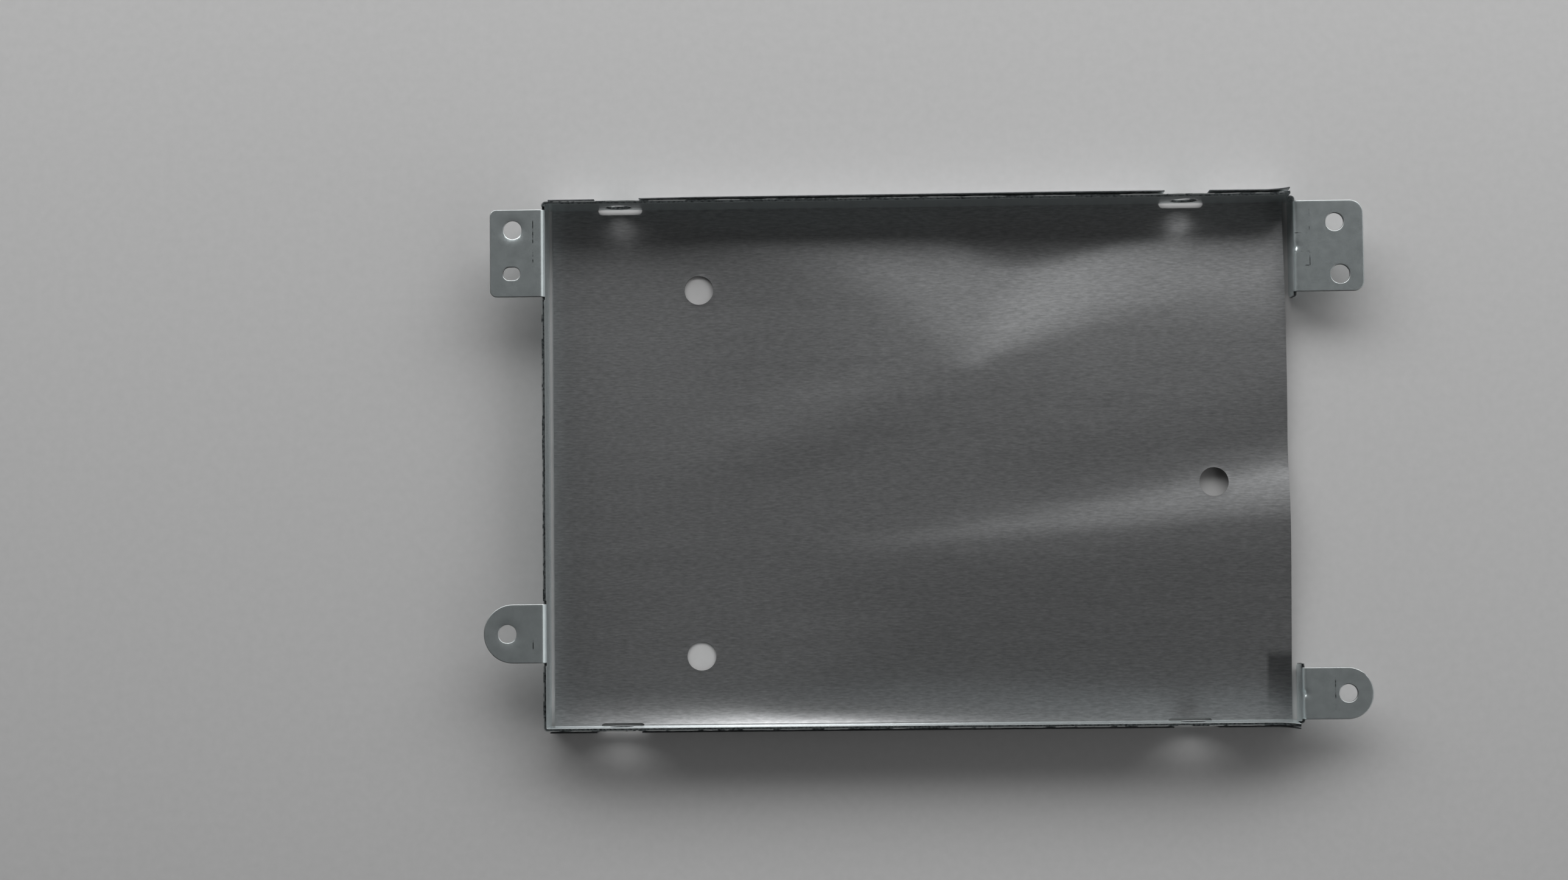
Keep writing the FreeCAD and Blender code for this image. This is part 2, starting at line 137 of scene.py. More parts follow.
# Side screws of the drive, and the dishes and darts pressed into the tabs
SCREW_FROM_WEST = 9.7
SCREW_SPACING = 76.6
SCREW_RISE = 3.0
SCREW_X = (SCREW_FROM_WEST - HALF_LENGTH, SCREW_FROM_WEST + SCREW_SPACING - HALF_LENGTH)
SCREW_Z = SHIELD + SCREW_RISE
SCREW_R = 1.7
SCREW_BLOCK = 1.35
SCREW_REACH = 2.3
DISH_R = 2.3
DISH_DROP = 0.13
DART_DEPTH = 0.18
DART_ALONG = 0.42
DART_UP = 0.5

# Shield: its floor, its folds and flanges outside the long walls, and its notches at the screws
SHIELD_GAP_WEST = 0.45
SHIELD_GAP_EAST = 0.65
SHIELD_WEST = SHIELD_GAP_WEST - HALF_LENGTH
SHIELD_EAST = HALF_LENGTH - SHIELD_GAP_EAST
FLANGE_GAP = 0.1
FLANGE_INNER = HALF_WIDTH + STEEL + FLANGE_GAP
FLANGE_DROP = 0.2
FLANGE_TOP = WALL_TOP - FLANGE_DROP
FLANGE_SPRING = 0.08
FLANGE_FLARE = FLAP_FLARE + FLANGE_SPRING
FOLD_R = FLANGE_GAP
FOLD_POINTS = 6
NOTCH_HALF = 3.0
NOTCH_R = 0.6
NOTCH_NORTH = HALF_WIDTH - 0.58
NOTCH_SOUTH = 0.3 - HALF_WIDTH
PAIR_X = 20.4 - HALF_LENGTH
LONE_X = HALF_LENGTH - 10.75
FLOOR_HOLES = ((PAIR_X, 24.0), (PAIR_X, -25.85), (LONE_X, -2.95))
FLOOR_HOLE_R = 1.97
FLOOR_HOLE_BLOCK = 1.55
FLOOR_HOLE_REACH = 2.7

# Bow of the floor: height, west end and run, and the share that sinks away to the north
BOW = 1.4
BOW_WEST = 22.85 - HALF_LENGTH
BOW_RUN = 33.0
NORTH_SINK = 0.34
SINK_SOUTH = 8.0
SINK_RUN = 22.0

# Feet of the floor along the long walls
FOOT_Y = HALF_WIDTH - 1.1
FOOT_SLOPE = 0.1
FOOT_SHARPNESS = 6
FLAT_BLUR = 0.05

# Dent: its point, its depth along a ray, and its sector in degrees from east
DENT_TIP = (4.7, 12.0)
DENT_TIP_R = 2.0
DENT_SLOPE = 0.073
DENT_FROM = 17.0
DENT_SPREAD = 118.0
DENT_LEAN = 0.8

# Pleat: its west point, how far its top and foot have moved north at the east edge, and the valley beside it
PLEAT_X = -16.0
PLEAT_Y = -12.0
PLEAT_TOP_RISE = 11.5
PLEAT_FOOT_RISE = 4.5
PLEAT_SLOPE = 0.12
PLEAT_CREST = 4.5
PLEAT_FALL = 0.09
PLEAT_TOP_BLUR = 0.8
PLEAT_FOOT_BLUR = 0.5
PLEAT_CREST_BLUR = 1.2
VALLEY = 0.5
VALLEY_NORTH = 2.5
VALLEY_WIDTH = 5.0

# Smaller waves: a crease with the way across it, a pillow, a ridge and ripples
CREASE_SLOPE = 0.03
CREASE_AT = (19.0, -12.7)
CREASE_ACROSS = (0.495, 0.869)
CREASE_WIDTH = 1.0
CREASE_BLUR = 0.3
CREASE_WEST = 20.0
CREASE_FADE = 3.0
PILLOW = 0.5
PILLOW_NORTH = 29.0
PILLOW_WEST = -38.0
PILLOW_RUN = 18.0
PILLOW_LOSS = 0.8
RIDGE = 0.25
RIDGE_AT = (-14.0, 5.4)
RIDGE_SLANT = 0.25
RIDGE_LENGTH = 15.0
RIDGE_WIDTH = 5.0
RIPPLE = 0.05
RIPPLE_SCALES = ((8.0, 15.0), (25.0, 6.0))
RIPPLE_RUN = 20.0

# South edge of the floor, curled up off the table, and the walls' lower edges above it and above the notches
CURL = 0.72
CURL_LOW = 0.16
CURL_X = -20.0
CURL_LENGTH = 30.0
CURL_RUN = 4.2
NOTCH_ARCH = 0.5
ARCH_PAST = 0.6
ARCH_EASE = 0.8
EDGE_RISE = 1.2

# Belly of the north flange: how far its top leans out, and the share of that at places along it
FLANGE_BELLY = 0.28
BELLY_X = (SHIELD_WEST, -45.0, -30.0, 0.0, 18.0, SHIELD_EAST)
BELLY_SHARE = (0, 0, 0.6, 0.75, 1, 0.8)

# Rims, from the upper face to the lower: height across the sheet, distance outwards, and lift of the burr
STEEL_RIM = ((0.5, -0.03, 0.04), (0.42, 0.01, 0.04), (0.3, 0.0, 0.0), (-0.2, 0.0, 0.0), (-0.38, -0.01, 0.0),
             (-0.46, -0.04, 0.0), (-0.5, -0.09, 0.0))
SHIELD_RIM = ((0.5, -0.01, 0.03), (0.3, 0.0, 0.02), (-0.3, 0.0, 0.0), (-0.5, -0.01, 0.0))

# Burr along a rim: waves of the flat place, each with its rate, start and weight, around a middle
BURR_SLANT = (1.0, 1.37)
BURR_WAVES = ((0.9, 0, 1), (2.3, 1, 1), (4.1, 2, 0.8))
BURR_MIDDLE = 0.55
BURR_SWING = 0.4

# Rubbed lines on the tabs: middle in X and Y, and half of each side
SCUFFS = ((-51.9, 29.8, 0.06, 3.2), (-52.1, -23.9, 0.06, 0.6), (54.7, -31.4, 0.06, 2.6),
          (51.5, 30.3, 0.95, 0.05), (51.5, 27.8, 0.95, 0.05), (51.6, 25.9, 0.8, 0.05),
          (52.5, 31.9, 0.05, 1.6), (52.5, 26.8, 0.05, 0.9))

# Painted shade of the south-east return on the floor: where it starts and is full, coming from the west,
# south and north
RETURN_SHADE_FROM_WEST = (46.2, 46.7)
RETURN_SHADE_FROM_SOUTH = (-34.5, -28.5)
RETURN_SHADE_FROM_NORTH = (-25.4, -26.8)
RETURN_SHADE = 0.62

# Meshes: grid steps, points along small curves, tolerances, millimetres to a unit, and the sharp angle
BAND_STEP = 0.7
BAND_HEIGHT_STEP = 0.35
TAB_STEP = 0.3
SHIELD_STEP = 0.9
BEND_POINTS = 11
TIP_POINTS = 7
FOOT_POINTS = 6
FLARE_POINTS = 9
FILL_POINTS = 6
NEAR = 1e-4
OFF_HALF = 1.3e-5
TINY = 1e-9
PER_METRE = 1000
PER_MAP_UNIT = 100
SHARP_ANGLE = 32


def grid_lines(stops, step):
    """Grid lines of a blank: every stop is one, and each stretch between two is cut evenly at the step."""
    stops = np.unique(np.round(np.concatenate([np.atleast_1d(s) for s in stops]), 5))
    runs = [np.linspace(a, b, max(1, math.ceil((b - a) / step)), endpoint=False)
            for a, b in zip(stops[:-1], stops[1:])]
    return np.append(np.concatenate(runs), stops[-1])


def hole_stops(centre, block, reach):
    """Grid lines of a hole in one direction: its block cut in eight, and three steps out to its reach."""
    ring = np.linspace(block, reach, 4)
    return centre + np.concatenate([-ring, np.linspace(-block, block, 9), ring])


def round_holes(u, v, holes):
    """Moves grid points so that each square block of missing cells becomes a round or oblong hole.

    A point between the block and a larger square keeps its direction from the middle, and its distance runs
    evenly from the hole's rim at the block to its own place at the larger square.
    """
    for at_u, at_v, straight, radius, block, reach in holes:
        du = u - at_u
        dv = v - at_v
        ring = np.maximum(np.abs(du), np.abs(dv))
        away = np.maximum(np.hypot(du, dv), TINY)
        across = np.abs(du) / away
        along = np.abs(dv) / away
        end = straight * along + np.sqrt(radius ** 2 - (straight * across) ** 2)
        rim = np.where(radius * along < straight * across, radius / np.maximum(across, TINY), end)
        outer = reach * away / np.maximum(ring, TINY)
        eased = rim + (outer - rim) * (ring - block) / (reach - block)
        moves = (ring > block - NEAR) & (ring < reach)
        scale = np.where(moves, eased / away, 1)
        u = at_u + du * scale
        v = at_v + dv * scale
    return u, v


def round_corners(u, v, corners):
    """Moves the grid points of a square at an outline's corner so that the corner becomes a quarter round.

    A corner's point is the centre of its arc. Within the core of the square the points stay. Beyond it a
    point keeps its direction from the arc's centre, and its distance runs evenly from the core's edge to
    the arc.
    """
    for at_u, at_v, side_u, side_v, radius, core in corners:
        p = (u - at_u) * side_u / radius
        q = (v - at_v) * side_v / radius
        ring = np.maximum(p, q)
        away = np.maximum(np.hypot(p, q), TINY)
        inner = core * away / np.maximum(ring, TINY)
        eased = inner + (1 - inner) * (ring - core) / (1 - core)
        moves = (p > -NEAR) & (q > -NEAR) & (ring < 1 + NEAR) & (ring > core)
        scale = np.where(moves, eased / away, 1)
        u = at_u + (u - at_u) * scale
        v = at_v + (v - at_v) * scale
    return u, v


def fill_corners(u, v, corners):
    """Moves the points on the two sides of a notch's inner corner onto the arc that fills the corner.

    A corner's point is the sharp corner itself. A point at a distance d from it goes to the arc at 45
    degrees times one minus d over the radius, counted from the arc's nearer end.
    """
    for at_u, at_v, side_u, side_v, radius, _ in corners:
        p = (u - at_u) * side_u
        q = (v - at_v) * side_v
        reach = np.maximum(p, q)
        moves = (np.abs(np.minimum(p, q)) < NEAR) & (reach < radius)
        turn = math.pi / 4 * (1 - reach / radius)
        near = radius * (1 - np.cos(turn))
        far = radius * (1 - np.sin(turn))
        on_p = p > q
        u = np.where(moves, at_u + side_u * np.where(on_p, far, near), u)
        v = np.where(moves, at_v + side_v * np.where(on_p, near, far), v)
    return u, v


def patch(us, vs, keep, holes=(), corners=(), fills=()):
    """One patch of a blank: the grid of us by vs, less the cells that keep drops and those in the holes."""
    u, v = np.meshgrid(us, vs, indexing="ij")
    cell_u, cell_v = np.meshgrid((us[1:] + us[:-1]) / 2, (vs[1:] + vs[:-1]) / 2, indexing="ij")
    kept = keep(cell_u, cell_v)
    for hole in holes:
        kept &= np.maximum(np.abs(cell_u - hole.u), np.abs(cell_v - hole.v)) > hole.block
    index = np.arange(u.size).reshape(u.shape)
    quads = np.stack([index[:-1, :-1], index[1:, :-1], index[1:, 1:], index[:-1, 1:]], -1)[kept]
    u, v = round_holes(u, v, holes)
    u, v = round_corners(u, v, corners)
    u, v = fill_corners(u, v, fills)
    return np.stack([u.ravel(), v.ravel()], 1), quads


def weld(patches):
    """Patches joined into one blank: points that meet become one, and points that no cell uses go.

    Points meet where they round to the same place. Grid lines can lie just halfway between two such places,
    so a small shift keeps them off the halves. Gives the points, the cells, and each point's patch number.
    """
    starts = np.cumsum([0] + [len(points) for points, _ in patches])
    points = np.concatenate([points for points, _ in patches])
    owner = np.repeat(np.arange(len(patches)), np.diff(starts))
    quads = np.concatenate([quads + start for (_, quads), start in zip(patches, starts)])
    used, quads = np.unique(quads, return_inverse=True)
    points = points[used]
    rounded = np.round(points + OFF_HALF, 4)
    _, first, same = np.unique(rounded, axis=0, return_index=True, return_inverse=True)
    return points[first], same.ravel()[quads.reshape(-1, 4)], owner[used][first]


def point_normals(points, quads):
    """Unit normals: at each point, the sum of the crossed diagonals of the cells around it."""
    a, b, c, d = (points[quads[:, k]] for k in range(4))
    crossed = np.cross(c - a, d - b)
    total = np.zeros_like(points)
    for k in range(4):
        np.add.at(total, quads[:, k], crossed)
    return total / np.linalg.norm(total, axis=1, keepdims=True)


def thick_sheet(name, middle, quads, flat, thickness, rim):
    """A sheet of even thickness around its middle surface, with a shaped rim all round its free edges.

    Each face is the middle surface moved half the thickness along its normals. The rim is carried along the
    free edges: each of its stops is a height across the thickness (+0.5 to -0.5), a distance outwards in mm,
    and how far the burr lifts it in mm. The burr comes and goes along the edge as a sum of sines of the flat
    place. The map "blank" holds the flat place of each point, and "edge" holds the height across the rim.
    """
    count = len(middle)
    normals = point_normals(middle, quads)
    sides = np.concatenate([quads[:, [k, (k + 1) % 4]] for k in range(4)])
    _, back, times = np.unique(np.sort(sides, 1), axis=0, return_inverse=True, return_counts=True)
    free = sides[times[back.ravel()] == 1]

    # Outward direction at each free point: the edge's direction crossed with the sheet's normal
    out = np.zeros_like(middle)
    run = middle[free[:, 1]] - middle[free[:, 0]]
    run /= np.linalg.norm(run, axis=1, keepdims=True)
    for end in (0, 1):
        np.add.at(out, free[:, end], np.cross(run, normals[free[:, end]]))
    edge_points = np.unique(free)
    out[edge_points] /= np.linalg.norm(out[edge_points], axis=1, keepdims=True)

    place = np.full(count, -1)
    place[edge_points] = np.arange(len(edge_points))
    way = flat[edge_points] @ np.array(BURR_SLANT)
    burr = sum(weight * np.sin(way * rate + start) for rate, start, weight in BURR_WAVES)
    burr = np.clip(BURR_MIDDLE + BURR_SWING * burr, 0, 1)[:, None]
    rings = [middle[edge_points] + out[edge_points] * reach
             + normals[edge_points] * (thickness * height + lift * burr) for height, reach, lift in rim]
    upper = middle + normals * thickness / 2
    lower = middle - normals * thickness / 2
    upper[edge_points] = rings[0]
    lower[edge_points] = rings[-1]
    verts = np.concatenate([upper, lower] + rings[1:-1])

    first_ring = 2 * count - len(edge_points)
    numbers = [free]
    numbers += [place[free] + first_ring + k * len(edge_points) for k in range(1, len(rim) - 1)]
    numbers += [free + count]
    strips = [np.stack([high[:, 0], low[:, 0], low[:, 1], high[:, 1]], 1)
              for high, low in zip(numbers, numbers[1:])]
    faces = np.concatenate([quads, quads[:, ::-1] + count] + strips)

    heights = [height + 0.5 for height, _, _ in rim]
    flat_rim = flat[free[:, [0, 0, 1, 1]]]
    blank_map = np.concatenate([flat[quads], flat[quads[:, ::-1]]] + [flat_rim] * len(strips))
    edge_map = np.zeros_like(blank_map)
    for k, strip in enumerate(strips):
        start = 2 * len(quads) + k * len(free)
        edge_map[start:start + len(strip), :, 0] = flat_rim.sum(2) / PER_MAP_UNIT
        edge_map[start:start + len(strip), :, 1] = [heights[k], heights[k + 1], heights[k + 1], heights[k]]

    mesh = bpy.data.meshes.new(name)
    mesh.from_pydata(verts / PER_METRE, [], faces)
    for label, values in (("blank", blank_map / PER_MAP_UNIT), ("edge", edge_map)):
        mesh.uv_layers.new(name=label).data.foreach_set("uv", values.astype(np.float32).ravel())
    on_rim = np.arange(len(faces)) >= 2 * len(quads)
    mesh.polygons.foreach_set("material_index", on_rim.astype(np.int32))
    mesh.polygons.foreach_set("use_smooth", np.ones(len(faces), bool))
    mesh.set_sharp_from_angle(angle=math.radians(SHARP_ANGLE))
    mesh.update()
    piece = bpy.data.objects.new(name, mesh)
    bpy.context.collection.objects.link(piece)
    return piece


def quarter(x, y, start):
    """Points and outward directions of a corner of the steel band: a quarter turn at an even step."""
    turn = start + np.linspace(0, math.pi / 2, CORNER_POINTS)
    out = np.stack([np.cos(turn), np.sin(turn)], 1)
    return np.array([x, y]) + (WALL_CORNER_R + STEEL_MID) * out, out


def tip_corners(span, tip, radii, core):
    """The two rounded corners at the tip of a tab that covers a span of the band."""
    return [Corner(span[0] + radii[0], tip - radii[0], -1, 1, radii[0], core),
            Corner(span[1] - radii[1], tip - radii[1], 1, 1, radii[1], core)]


def up(z):
    """The height of a place up the steel band, from its lower edge."""
    return z - STEEL_BOTTOM


def level(bend, out):
    """The height up the blank of a place on a tab: past its bend line, the bend, and then level outward."""
    return bend + BEND_RUN + out - BEND_OUT


def frame_blank():
    """The steel frame: u runs along the band from the north-east return's end, v is the height up the band.

    A tab goes on up the blank: past its bend line v turns outward on the bend's radius and then runs level.
    """
    side_x = HALF_LENGTH - WALL_CORNER_R
    side_y = HALF_WIDTH - WALL_CORNER_R
    corners = [quarter(side_x, side_y, 0), quarter(-side_x, side_y, math.pi / 2),
               quarter(-side_x, -side_y, math.pi), quarter(side_x, -side_y, -math.pi / 2)]
    path = np.concatenate([[[HALF_LENGTH + STEEL_MID, NE_RETURN_END]]] + [c[0] for c in corners]
                          + [[[HALF_LENGTH + STEEL_MID, SE_RETURN_END]]])
    outward = np.concatenate([[[1, 0]]] + [c[1] for c in corners] + [[[1, 0]]])
    run = np.concatenate([[0], np.cumsum(np.linalg.norm(np.diff(path, axis=0), axis=1))])
    north_u, west_u, south_u, se_u = run[CORNER_POINTS:-1:CORNER_POINTS]
    length = run[-1]

    # Places along the band, from X or Y on each of its walls
    def on_east_north(y):
        return y - NE_RETURN_END

    def on_north(x):
        return north_u + side_x - x

    def on_west(y):
        return west_u + side_y - y

    def on_south(x):
        return south_u + x + side_x

    def on_east_south(y):
        return se_u + y + side_y

    # Tabs on the blank: span along the band, bend line, tip, holes and tip corners
    east_bend = up(EAST_TAB_TOP - BEND_OUT)
    west_bend = up(WEST_TAB_TOP - BEND_OUT)
    tabs = []
    for tab, along, bend in ((NW_TAB, on_west, west_bend), (SW_TAB, on_west, west_bend),
                             (NE_TAB, on_east_north, east_bend), (SE_TAB, on_east_south, east_bend)):
        span = sorted(along(y) for y in tab.ends)
        tip = level(bend, tab.reach)
        holes = [hole._replace(u=along(hole.u), v=level(bend, hole.v)) for hole in tab.holes]
        tabs.append((span, bend, tip, holes, tip_corners(span, tip, tab.tip_radii, tab.core)))
    west_tabs = tabs[:2]
    east_tabs = tabs[2:]

    # Grid lines: along the band they serve the walls and the tabs, up the band each tab has its own
    screws = [Hole(along(x), up(SCREW_Z), 0, SCREW_R, SCREW_BLOCK, SCREW_REACH)
              for along in (on_north, on_south) for x in SCREW_X]
    feet = [Corner(RETURN_FOOT_R, RETURN_FOOT_R, -1, -1, RETURN_FOOT_R),
            Corner(length - RETURN_FOOT_R, RETURN_FOOT_R, 1, -1, RETURN_FOOT_R)]
    foot_stops = np.linspace(0, RETURN_FOOT_R, FOOT_POINTS)
    flare_stops = np.linspace(FLARE_START, FLAP_END, FLARE_POINTS)
    stops = [run, foot_stops, length - foot_stops, on_north(flare_stops), on_south(flare_stops)]
    stops += [hole_stops(hole.u, hole.block, hole.reach) for hole in screws]
    for span, _, _, holes, tips in tabs:
        stops.append(np.array(span))
        stops.append(np.arange(span[0], span[1], TAB_STEP))
        stops += [hole_stops(hole.u, hole.block, hole.reach) for hole in holes]
        stops += [corner.u + corner.side_u * np.linspace(0, corner.radius, TIP_POINTS) for corner in tips]
    for span, *_ in west_tabs:
        stops.append(np.array([span[0] - RELIEF_WIDTH, span[1] + RELIEF_WIDTH]))
    us = grid_lines(stops, BAND_STEP)
    band_vs = grid_lines([[0, up(RETURN_TOP), up(FLARE_Z), up(RELIEF_Z), up(WALL_TOP)], foot_stops,
                          hole_stops(up(SCREW_Z), SCREW_BLOCK, SCREW_REACH)], BAND_HEIGHT_STEP)

    def band_keep(u, v):
        """The walls up to their top, the returns and corners up to theirs, and nothing above a relief."""
        east = (u < on_north(FLAP_END)) | (u > on_south(FLAP_END))
        top = np.where(east, up(RETURN_TOP), up(WALL_TOP))
        for (low, high), *_ in west_tabs:
            beside = (u > low - RELIEF_WIDTH) & (u < high + RELIEF_WIDTH)
            top = np.where(beside, up(RELIEF_Z), top)
        return v < top

    patches = [patch(us, band_vs, band_keep, screws, feet)]
    for span, bend, tip, holes, tips in tabs:
        root = up(RELIEF_Z) if bend == west_bend else up(RETURN_TOP)
        tab_us = us[(us > span[0] - NEAR) & (us < span[1] + NEAR)]
        tab_stops = [[root, tip], np.linspace(bend, bend + BEND_RUN, BEND_POINTS)]
        tab_stops += [hole_stops(hole.v, hole.block, hole.reach) for hole in holes]
        tab_stops += [corner.v + np.linspace(0, corner.radius, TIP_POINTS) for corner in tips]
        tab_vs = grid_lines(tab_stops, TAB_STEP)
        patches.append(patch(tab_us, tab_vs, lambda u, v: np.full(u.shape, True), holes, tips))
    flat, quads, owner = weld(patches)

    # Fold: along the path, up the wall, and over the bend of a tab
    u, v = flat.T
    x, y = (np.interp(u, run, path[:, k]) for k in (0, 1))
    out_x, out_y = (np.interp(u, run, outward[:, k]) for k in (0, 1))
    bend = np.where(x > 0, east_bend, west_bend)
    turn = np.where(owner > 0, np.clip((v - bend) / BEND_MID_R, 0, math.pi / 2), 0)
    past = np.where(owner > 0, np.maximum(v - bend - BEND_RUN, 0), 0)
    out = BEND_MID_R * (1 - np.cos(turn)) + past
    z = STEEL_BOTTOM + np.where(turn > 0, bend + BEND_MID_R * np.sin(turn), v)

    # Lower edges of the long walls: the south one clears the floor's curl, and the north one is arched over
    # each notch. Both moves fade out up the wall.
    low = np.clip(1 - v / EDGE_RISE, 0, 1)
    from_screw = np.minimum(np.abs(x - SCREW_X[0]), np.abs(x - SCREW_X[1]))
    arch = NOTCH_ARCH * np.clip((NOTCH_HALF + ARCH_PAST - from_screw) / ARCH_EASE, 0, 1)
    z = z + np.where((owner == 0) & (y < -HALF_WIDTH), curl(x) * low, 0)
    z = z + np.where((owner == 0) & (y > HALF_WIDTH), arch * low, 0)

    # Sprung ends of the long walls: the outward move grows as the square of the distance past the start
    along = np.clip((x - FLARE_START) / (FLAP_END - FLARE_START), 0, 1)
    rise = np.clip((z - FLARE_Z) / (WALL_TOP - FLARE_Z), 0, 1)
    out = out + np.where(owner == 0, FLAP_FLARE * along ** 2 * rise, 0)

    # Dished holes of the west tabs: the sheet drops as the square of the distance inside the dish's rim
    for _, _, _, holes, _ in west_tabs:
        from_hole = np.hypot(u - holes[0].u, v - holes[0].v)
        inside = np.clip((DISH_R - from_hole) / (DISH_R - holes[0].radius), 0, 1)
        z = z - DISH_DROP * inside ** 2

    # Darts across the east bends: a bell-shaped dent pressed along the bend's own normal
    for span, *_ in east_tabs:
        dart_u = (u - sum(span) / 2) / DART_ALONG
        dart_v = (v - east_bend - BEND_RUN / 2) / DART_UP
        bell = DART_DEPTH * np.exp(-dart_u ** 2 - dart_v ** 2)
        out = out + bell * np.cos(turn)
        z = z - bell * np.sin(turn)
    return np.stack([x + out_x * out, y + out_y * out, z], 1), quads, flat


def soft_min(heights, sharpness):
    """The lowest of several surfaces, with rounded creases between them: a log of summed exponentials."""
    return -np.log(sum(np.exp(-sharpness * h) for h in heights)) / sharpness


def soft_step(distance, blur):
    """Nothing before zero and the distance itself after it, with the turn between them rounded."""
    return blur * np.logaddexp(0, distance / blur)


def ease(share):
    """A share from 0 to 1, eased at both ends: three times its square less twice its cube."""
    return share ** 2 * (3 - 2 * share)


def curl(x):
    """How far the floor's south edge curls up off the table: a bell along the wall over a low step."""
    return CURL_LOW + CURL * np.exp(-((x - CURL_X) / CURL_LENGTH) ** 2)


def bow_share(x):
    """How much of the bow's run lies west of a place, from 0 to 1."""
    return np.clip((x - BOW_WEST) / BOW_RUN, 0, 1)


def bow(x, y):
    """The floor bows up eastward, eased at both ends, and a share of that sinks northward as a square."""
    sink = np.clip((y - SINK_SOUTH) / SINK_RUN, 0, 1) ** 2
    return BOW * ease(bow_share(x)) * (1 - NORTH_SINK * sink)


def dent(x, y):
    """A dent fans out from one point to the north wall.

    Along each ray it deepens evenly past a rounded tip, and across the rays it is a sine squared that leans
    east.
    """
    from_x = x - DENT_TIP[0]
    from_y = y - DENT_TIP[1]
    turn = np.clip((np.degrees(np.arctan2(from_y, from_x)) - DENT_FROM) / DENT_SPREAD, 0, 1)
    away = np.sqrt(from_x ** 2 + from_y ** 2 + DENT_TIP_R ** 2) - DENT_TIP_R
    return DENT_SLOPE * away * np.sin(np.pi * turn ** DENT_LEAN) ** 2


def pleat(x, y):
    """A pleat, a wedge that widens eastward, steps the floor up to the south and falls off past its crest.

    North of it lies a shallow valley: a bell across the pleat that deepens as the square of the way east.
    """
    eastward = np.clip((x - PLEAT_X) / (SHIELD_EAST - PLEAT_X), 0, 1)
    top = PLEAT_Y + PLEAT_TOP_RISE * eastward
    foot = PLEAT_Y + PLEAT_FOOT_RISE * eastward
    crest = foot - PLEAT_CREST
    end = crest - PLEAT_SLOPE / PLEAT_FALL * (top - foot)
    step = PLEAT_SLOPE * (soft_step(top - y, PLEAT_TOP_BLUR) - soft_step(foot - y, PLEAT_FOOT_BLUR))
    fall = PLEAT_FALL * (soft_step(crest - y, PLEAT_CREST_BLUR) - soft_step(end - y, PLEAT_CREST_BLUR))
    valley = VALLEY * eastward ** 2 * np.exp(-((y - top - VALLEY_NORTH) / VALLEY_WIDTH) ** 2)
    return step - fall - valley


def crease(x, y):
    """A thin crease crosses the south-east: a small step across a slanting line, fading in eastward."""
    along = 0.5 + 0.5 * np.tanh((x - CREASE_WEST) / CREASE_FADE)
    across = (x - CREASE_AT[0]) * CREASE_ACROSS[0] + (y - CREASE_AT[1]) * CREASE_ACROSS[1]
    step = soft_step(CREASE_WIDTH - across, CREASE_BLUR) - soft_step(-across, CREASE_BLUR)
    return CREASE_SLOPE * along * step


def pillow(x, y):
    """A low pillow along the north wall: it grows as the square of the way north.

    It fades in from the west, eased at both ends, and most of it is lost where the bow is full.
    """
    north = np.clip(y / PILLOW_NORTH, 0, 1) ** 2
    west = np.clip((x - PILLOW_WEST) / PILLOW_RUN, 0, 1)
    return PILLOW * north * ease(west) * (1 - PILLOW_LOSS * bow_share(x))


def ridge(x, y):
    """A bell-shaped ridge that slants down west-south-west of the dent."""
    along = x - RIDGE_AT[0]
    across = y - RIDGE_AT[1] - RIDGE_SLANT * along
    return RIDGE * np.exp(-(across / RIDGE_WIDTH) ** 2 - (along / RIDGE_LENGTH) ** 2)


def ripple(x, y):
    """Ripples over the whole floor: two crossed sines, fading in from the west edge."""
    (first_x, first_y), (second_x, second_y) = RIPPLE_SCALES
    waves = np.sin(x / first_x + y / first_y) * np.sin(y / second_y - x / second_x)
    return RIPPLE * waves * np.clip((x - SHIELD_WEST) / RIPPLE_RUN, 0, 1)


def floor_wave(x, y):
    """How far the thin floor stands off flat, in millimetres.

    The waves add up, and they never go below flat. Beside the long walls the floor is the lowest of them and
    of two even slopes that run down to its feet. The curl of the south edge comes on top, as the square of
    the nearness to the wall.
    """
    waves = bow(x, y) - dent(x, y) + pleat(x, y) + crease(x, y) + pillow(x, y) + ridge(x, y) + ripple(x, y)
    top = soft_step(waves, FLAT_BLUR)
    north_foot = FOOT_SLOPE * (FOOT_Y - y)
    south_foot = FOOT_SLOPE * (FOOT_Y + y)
    near = np.clip(1 - (y + HALF_WIDTH) / CURL_RUN, 0, 1)
    return np.maximum(soft_min([top, north_foot, south_foot], FOOT_SHARPNESS), 0) + curl(x) * near ** 2


